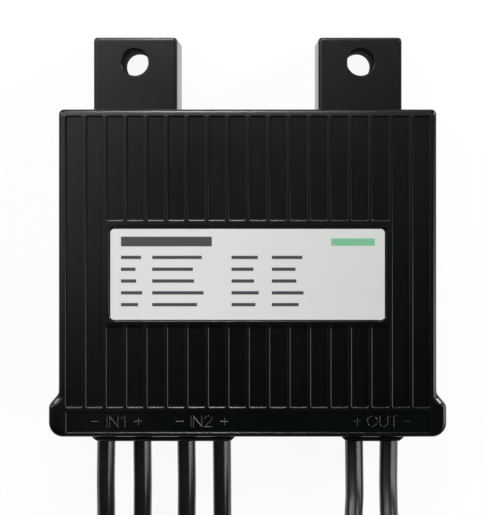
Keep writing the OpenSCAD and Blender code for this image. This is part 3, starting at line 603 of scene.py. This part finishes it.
# bolt tabs: at each point round the outline, a profile from the hole over the face to the cored back
tab = {
    "half": 13.95, "draft": 0.45, "low": 52.0, "root": 54.0, "high": 78.7, "depth": 26.0, "topCorner": 1.2,
    "flare": 0.9, "faceRound": 1.0, "backRound": 0.4, "faceInset": 1.3, "flatStrip": 0.12,
    "spacing": 37.8, "shift": 0.2, "sidePoints": 22, "endPoints": 24,
    "holeY": 70.4, "holeRadius": 4.5, "holeRound": 0.3, "boreMargin": 0.03,
    "coreWall": 3.0, "coreLow": 55.4, "coreTop": 22.0, "coreGap": 0.3, "coreBlend": 0.8,
    "bossRadius": 8.1, "bossRim": 0.8, "web": 2.6, "webCorner": 0.2, "webOverlap": 0.6, "webSink": 1.0,
}


def tabOutline():  # up a side with its flare and corner arc, over the top, down the other, along the foot
    arc = np.linspace(0, math.pi / 2, 9)
    flareX = tab["half"] + tab["flare"] * (1 - np.sin(arc))
    flareY = tab["root"] + tab["flare"] * (1 - np.cos(arc))
    cornerX = tab["half"] - tab["topCorner"] * (1 - np.cos(arc))
    cornerY = tab["high"] - tab["topCorner"] * (1 - np.sin(arc))
    side = np.linspace(flareY[-1], cornerY[0], tab["sidePoints"] + 2)[1:-1]
    x = np.r_[tab["half"] + tab["flare"], flareX, np.full(len(side), tab["half"]), cornerX]
    y = np.r_[tab["low"], flareY, side, cornerY]
    top = np.linspace(cornerX[-1], -cornerX[-1], tab["endPoints"] + 2)[1:-1]
    foot = np.linspace(-x[0], x[0], tab["endPoints"] + 2)[1:-1]
    return np.concatenate([np.c_[x, y], np.c_[top, np.full(len(top), tab["high"])],
                           np.c_[-x[::-1], y[::-1]], np.c_[foot, np.full(len(foot), tab["low"])]])


def tabSolid(side):
    outline = tabOutline()
    heading = np.roll(outline, -1, 0) - np.roll(outline, 1, 0)
    heading /= np.linalg.norm(heading, axis=1, keepdims=True)
    inward = np.stack([-heading[:, 1], heading[:, 0]], 1)
    flared = outline[:, 1] < tab["root"] + tab["flare"] + hair
    inward[flared] = np.stack([-np.sign(outline[flared, 0]), np.zeros(flared.sum())], 1)  # level in the flare
    inward[outline[:, 1] < tab["root"] - hair] = 0.0  # the foot is inside the case
    shift = -side * tab["shift"]

    def outer(inset, z):  # the outline moved in along its normal, wider towards the back by the draft
        plan = outline + inset * inward
        widen = 1 + tab["draft"] * (1 - z / tab["depth"]) / tab["half"]
        return np.stack([plan[:, 0] * widen + shift, plan[:, 1], np.full(len(plan), z)], 1)

    def straight(inset, z):  # the outline without its flare, moved in
        x = np.clip(outline[:, 0], inset - tab["half"], tab["half"] - inset) + shift
        return np.stack([x, np.minimum(outline[:, 1], tab["high"] - inset), np.full(len(outline), z)], 1)

    away = straight(tab["faceInset"], 0.0)[:, :2] - [0.0, tab["holeY"]]
    edge = np.linalg.norm(away, axis=1)
    away /= edge[:, None]

    def ringAt(radius, z):  # the radius out from the hole's middle, along each direction
        ring = away * np.broadcast_to(radius, len(away))[:, None]
        return np.stack([ring[:, 0], ring[:, 1] + tab["holeY"], np.broadcast_to(z, len(away))], 1)

    # reach from the hole to the core's rectangle, along each direction
    limitX = tab["half"] - tab["coreWall"] + np.sign(away[:, 0]) * shift
    above, below = tab["high"] - tab["coreWall"] - tab["holeY"], tab["holeY"] - tab["coreLow"]
    limits = np.stack([limitX, np.where(away[:, 1] > 0, above, below)], 1)
    reach = (limits / np.maximum(np.abs(away), 1e-6)).min(1)
    boss = np.minimum(tab["bossRadius"], edge - tab["bossRim"])
    deep = tab["coreTop"] * smoothStep((reach - boss - tab["coreGap"]) / tab["coreBlend"])
    reach = np.minimum(np.maximum(reach, boss + tab["coreGap"]), edge - tab["coreGap"])
    bend = np.linspace(0, math.pi / 2, 6)
    quarter = list(zip(1 - np.cos(bend), 1 - np.sin(bend)))  # shares of a radius, one growing, one shrinking
    hole, holeRound, depth = tab["holeRadius"], tab["holeRound"], tab["depth"]
    faceRound, backRound, strip = tab["faceRound"], tab["backRound"], tab["flatStrip"]
    loops = [ringAt(hole + holeRound * up, depth - holeRound * down) for up, down in quarter]
    # narrow strips beside the two roundings keep the face flat
    loops += [ringAt(hole + holeRound + strip, depth), straight(tab["faceInset"], depth),
              outer(faceRound + strip, depth)]
    loops += [outer(faceRound * down, depth - faceRound * up) for up, down in quarter]
    loops += [outer(backRound * up, backRound * down) for up, down in quarter]
    loops += [straight(tab["faceInset"], 0.0), ringAt(reach, 0.0), ringAt(reach, deep),
              ringAt(boss, deep), ringAt(boss, 0.0)]
    loops += [ringAt(hole + holeRound * down, holeRound * up) for up, down in quarter]
    loops = np.array(loops) + [side * tab["spacing"], 0.0, 0.0]
    return loops.reshape(-1, 3), gridQuads(*loops.shape[:2], True, True).tolist()


def upright(plan, low, high):  # an outline carried straight up
    return skin(np.stack([np.c_[plan, np.full(len(plan), z)] for z in (low, high)]))


def webSolid(centreX):  # web between the boss and the foot of the cored back
    high = tab["holeY"] - tab["bossRadius"] + tab["webOverlap"]
    plan = roundedBox(tab["web"] / 2, (high - tab["root"]) / 2, tab["webCorner"], 3)
    return upright(plan + [centreX, (high + tab["root"]) / 2], 0.0, tab["coreTop"] + tab["webSink"])


# exit bosses: a rounded rectangle carried down from the case, drawn in at its slanted ends and lower edge
exitBoss = {
    "top": -52.0, "root": -54.0, "low": -57.0, "z": 17.0, "halfDepth": 7.0, "slant": 3.0, "round": 1.5,
    "endRound": 0.5, "corner": 0.9, "places": [(-28.35, 25.5), (42.0, 11.95)],  # middle and half width
}


def bossSolid(centreX, halfX):
    tall = exitBoss["root"] - exitBoss["low"]
    lowerEdge = tall - exitBoss["round"] * np.cos(np.linspace(0, math.pi / 2, 12))
    fall = np.r_[exitBoss["root"] - exitBoss["top"], 0.0, lowerEdge]

    def drawIn(radius):  # quarter round that starts one radius above the lower edge
        over = np.clip(fall - tall + radius, 0, radius)
        return radius - np.sqrt(radius ** 2 - over ** 2)

    sizeX = halfX - exitBoss["slant"] * np.clip(fall, 0, None) / tall - drawIn(exitBoss["endRound"])
    sizeZ = exitBoss["halfDepth"] - drawIn(exitBoss["round"])
    outline = roundedBox(halfX, exitBoss["halfDepth"], exitBoss["corner"])
    x = centreX + outline[None, :, 0] - np.sign(outline[None, :, 0]) * (halfX - sizeX)[:, None]
    z = exitBoss["z"] + outline[None, :, 1] * (sizeZ / exitBoss["halfDepth"])[:, None]
    y = np.broadcast_to((exitBoss["root"] - fall)[:, None], x.shape)
    return skin(np.stack([x, y, z], 2))


# posts in the hollow: six for the cover's screws, four for the board's
posts = {
    "ears": [(-54.85, 46.4), (54.85, 46.4), (-54.85, 0.0), (54.85, 0.0), (-28.35, -46.4), (28.35, -46.4)],
    "earRadius": 3.6, "boardX": (-44.0, 44.0), "boardY": (-36.0, 26.0), "boardRadius": 3.0, "boardTop": 8.6,
    "sink": 0.5,
}


def postSolid(x, y, radius, low, high):  # circle carried from low to high
    turn = np.linspace(0, 2 * math.pi, 24, endpoint=False)
    return upright(np.stack([x + radius * np.cos(turn), y + radius * np.sin(turn)], 1), low, high)


caseSolids = [caseShell]
for side in (-1, 1):
    caseSolids += [tabSolid(side), webSolid(side * tab["spacing"])]
caseSolids += [bossSolid(*place) for place in exitBoss["places"]]
postTop = case["ceiling"] + posts["sink"]
caseSolids += [postSolid(x, y, posts["earRadius"], case["seat"], postTop) for x, y in posts["ears"]]
caseSolids += [postSolid(x, y - middleY, posts["boardRadius"], posts["boardTop"], postTop)
               for x in posts["boardX"] for y in posts["boardY"]]
caseFront = addPiece("caseFront", joined(caseSolids), finishes["case_black"], originY=middleY)
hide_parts("front_case")
caseFront.data.materials.append(finishes["bore_black"])  # the bolt holes' walls are duller
centres = np.empty(len(caseFront.data.polygons) * 3)
caseFront.data.polygons.foreach_get("center", centres)
centres = centres.reshape(-1, 3) / mm
fromBore = np.hypot(np.abs(centres[:, 0]) - tab["spacing"], centres[:, 1] - middleY - tab["holeY"])
inBore = fromBore < tab["holeRadius"] + tab["boreMargin"]
caseFront.data.polygons.foreach_set("material_index", inBore.astype(np.int32))
print("case, tabs and bosses made")

# raised signs: thin half-round strokes on the shallow field
signs = {
    "middleY": -48.9, "tall": 3.4, "floor": 33.4, "rise": 0.5,
    "stroke": 0.62, "endShare": 0.35, "sharp": 50.0,
    "words": [("-", -50.4, 1.9), ("I", -46.5, 0.0), ("N", -44.3, 2.7), ("1", -41.0, 1.2), ("+", -36.2, 2.2),
              ("-", -22.4, 1.9), ("I", -18.8, 0.0), ("N", -16.6, 2.7), ("2", -13.0, 2.2), ("+", -7.7, 2.0),
              ("+", 36.1, 2.1), ("O", 41.2, 3.4), ("U", 44.9, 2.6), ("T", 48.2, 2.8), ("-", 52.7, 2.3)],
}


def arcStroke(start, end, middle, tall):  # arc of a glyph, between two angles in half turns
    turn = math.pi * np.linspace(start, end, 13)
    return np.c_[np.cos(turn), middle + tall * np.sin(turn)]


glyphs = {  # strokes in a cell from -1 to 1 across and 0 to 1 up
    "-": [[(-1, 0.5), (1, 0.5)]],
    "+": [[(-1, 0.5), (1, 0.5)], [(0, 0.22), (0, 0.78)]],
    "I": [[(0, 0), (0, 1)]],
    "N": [[(-1, 0), (-1, 1)], [(-1, 1), (1, 0)], [(1, 0), (1, 1)]],
    "1": [[(-1, 0.76), (0.6, 1)], [(0.6, 1), (0.6, 0)]],
    "2": [arcStroke(1, -0.25, 0.72, 0.28), [(0.75, 0.53), (-1, 0)], [(-1, 0), (1, 0)]],
    "O": [arcStroke(0, 2.08, 0.5, 0.5)],
    "U": [[(-1, 1), (-1, 0.32)], arcStroke(1, 2, 0.32, 0.32), [(1, 0.32), (1, 1)]],
    "T": [[(-1, 1), (1, 1)], [(0, 1), (0, 0)]],
}


def strokeSolid(points):  # half-round ridge carried along a stroke
    path = np.c_[points, np.full(len(points), signs["floor"])]
    heading = np.gradient(path, axis=0)
    heading /= np.linalg.norm(heading, axis=1, keepdims=True)
    path[0] -= heading[0] * signs["stroke"] * signs["endShare"]
    path[-1] += heading[-1] * signs["stroke"] * signs["endShare"]
    across = np.cross(heading, [0.0, 0.0, 1.0])
    turn = np.linspace(0, math.pi, 9)[None, :, None]
    return skin(path[:, None, :] + np.cos(turn) * across[:, None, :] * signs["stroke"] / 2
                + np.sin(turn) * np.array([0.0, 0.0, signs["rise"]]))


strokes = []
for glyph, x, width in signs["words"]:
    cell = np.array([width / 2, signs["tall"]])
    strokes += [strokeSolid(np.array(points, float) * cell + [x, signs["middleY"] - signs["tall"] / 2])
                for points in glyphs[glyph]]
addPiece("raisedSigns", joined(strokes), finishes["case_black"], signs["sharp"], middleY)
print("signs raised:", len(strokes), "strokes")

# label film: satin silver with plain grey bars and a green field, and painted shade that darkens it to the
# right
film = {
    "tone": (0.625, 0.64, 0.62), "shade": (0.53, 0.545, 0.53), "ink": (0.055, 0.056, 0.06),
    "green": (0.16, 0.42, 0.24), "rough": 0.42, "wander": 0.14, "inkGloss": 0.06, "index": 1.46,
    "brush": 900.0, "brushDetail": 3.0, "relief": 0.05, "depth": 0.00005,
    "cloud": 22.0, "cloudShare": 0.4, "paintedShadeFrom": -6.0, "paintedShadeOver": 75.0,
    "rowsFrom": 12.0, "rowPitch": 3.9, "rowCount": 5, "bar": (2.2, 3.3),
    # start, longest, varies by
    "columns": [(-41.8, 7.0, 2.5), (-31.5, 17.0, 4.0), (-5.3, 9.0, 2.0), (8.0, 10.5, 3.0)],
    "headingX": (-41.8, -11.8), "headingY": (9.0, 12.2), "greenX": (27.6, 42.0), "greenY": (9.2, 11.6),
}


# a row is the whole number of pitches below the start, and a bar lies in a row where a column has it
def labelFinish():
    material, shader, place = startFinish("labelFilm", {"IOR": film["index"]})
    x, y = place.along(0), place.along(1) - middleY
    down = film["rowsFrom"] - y
    row = (down / film["rowPitch"]).whole()  # row 0 is left for the heading
    inRow = (down - row * film["rowPitch"]).within(*film["bar"]) * row.within(0.5, film["rowCount"] + 0.5)
    seed = row.node("TexWhiteNoise", {"noise_dimensions": "1D"}, {"W": row})
    ink = x.within(*film["headingX"]) * y.within(*film["headingY"])
    for start, longest, variesBy in film["columns"]:
        ink = ink.either(inRow * x.within(start, start + longest - seed * variesBy))
    green = x.within(*film["greenX"]) * y.within(*film["greenY"])
    brushed = place.noise(film["brush"], film["brushDetail"])
    # painted shade: the film's tone goes darker to the right, as if less light fell there, over a random
    # mottle
    mottleAndPaintedShade = place.noise(film["cloud"]) * film["cloudShare"] + (x - film["paintedShadeFrom"]) / film["paintedShadeOver"]
    printed = ink.blend(mottleAndPaintedShade.blend(film["tone"], film["shade"]), film["ink"])  # random mottle, and painted shade darker to the right
    green.blend(printed, film["green"]).plug(shader["Base Color"])
    rough = film["rough"] + (brushed - 0.5) * film["wander"] - ink * film["inkGloss"]
    rough.plug(shader["Roughness"])
    brushed.bump(film["relief"], film["depth"]).plug(shader["Normal"])
    return material


finishes["label_silver"] = labelFinish()
cadNodes["label_plate"].data.materials.clear()
cadNodes["label_plate"].data.materials.append(finishes["label_silver"])
print("label finished")

# floor, lamps and world
studio = {
    "floorHalf": 1.6, "floorTone": 0.95, "whiteShare": 0.93, "ambient": 0.012,
    "lamps": [  # name, place, place it faces, width and height, radiance
        ("highPanel", (-0.42, 0.53, 0.95), (-0.42, 0.53, 0.0), (0.92, 0.7), 2.3),
        ("sidePanel", (0.25, 0.35, 0.95), (0.25, 0.35, 0.0), (0.4, 0.5), 0.3),
        ("leftPanel", (-0.4, 0.12, 0.94), (-0.4, 0.12, 0.0), (0.5, 0.4), 0.85),
        ("widePanel", (-0.1, 0.13, 0.93), (-0.1, 0.13, 0.0), (0.6, 0.38), 0.15),
        ("topLamp", (-0.07, 1.15, 0.75), (-0.07, 0.0, 0.0), (0.06, 0.9), 46.0),
        ("rightLamp", (1.0, -0.16, 0.6), (0.0, -0.16, 0.0), (0.21, 1.3), 4.2),
        ("leadLamp", (0.75, -0.4, 0.8), (0.0, -0.1, 0.0), (0.3, 0.22), 4.5),
        ("leftShoulderLamp", (-1.1, 0.58, 0.65), (-0.06, -0.05, 0.03), (0.25, 0.9), 9.0),
        ("rightShoulderLamp", (1.1, 0.58, 0.65), (0.06, -0.05, 0.03), (0.25, 0.9), 20.0),
        ("leftFill", (-1.0, 0.1, 0.7), (0.0, 0.1, 0.0), (0.5, 0.5), 0.8),
        ("lowFill", (0.0, -1.1, 0.7), (0.0, 0.0, 0.0), (0.8, 0.5), 0.2)],
}


# mostly white to the camera and in reflections, the rest matt, so that the shadow stays
def floorFinish():
    material = bpy.data.materials.new("paleFloor")
    material.use_nodes = True
    tree = material.node_tree
    tree.nodes.clear()
    rays = Wire(tree, tree.nodes.new("ShaderNodeLightPath").outputs["Is Camera Ray"])
    path = rays.socket.node.outputs
    seen = rays.either(Wire(tree, path["Is Glossy Ray"])).either(Wire(tree, path["Is Transmission Ray"]))
    matt = rays.node("BsdfDiffuse", None, {"Color": (*(studio["floorTone"],) * 3, 1.0)})
    white = rays.node("Emission", None, {"Color": (1.0, 1.0, 1.0, 1.0), "Strength": 1.0})
    mixed = rays.node("MixShader", None, {0: seen * studio["whiteShare"], 1: matt, 2: white})
    output = tree.nodes.new("ShaderNodeOutputMaterial")
    mixed.plug(output.inputs["Surface"])
    return material


floorMesh = bpy.data.meshes.new("paleFloor")
reach = studio["floorHalf"]
floorCorners = [(-reach, -reach, 0), (reach, -reach, 0), (reach, reach, 0), (-reach, reach, 0)]
floorMesh.from_pydata(floorCorners, [], [(0, 1, 2, 3)])
floorMesh.materials.append(floorFinish())
floor = bpy.data.objects.new("paleFloor", floorMesh)
scene.collection.objects.link(floor)
for name, place, faced, (wide, tall), radiance in studio["lamps"]:
    lampData = bpy.data.lights.new(name, "AREA")
    lampData.shape = "RECTANGLE"
    lampData.size, lampData.size_y = wide, tall
    lampData.energy = radiance * math.pi * wide * tall  # each square metre gives pi times the radiance
    lamp = bpy.data.objects.new(name, lampData)
    lamp.location = place
    lamp.rotation_euler = (Vector(faced) - lamp.location).to_track_quat("-Z", "Y").to_euler()
    scene.collection.objects.link(lamp)
world = bpy.data.worlds.new("studio")
world.use_nodes = True
scene.world = world
background = world.node_tree.nodes["Background"]
worldRay = Wire(world.node_tree, world.node_tree.nodes.new("ShaderNodeLightPath").outputs["Is Camera Ray"])
(worldRay * (1.0 - studio["ambient"]) + studio["ambient"]).plug(background.inputs["Strength"])
background.inputs["Color"].default_value = (1.0, 1.0, 1.0, 1.0)
print("floor, lamps and world set")
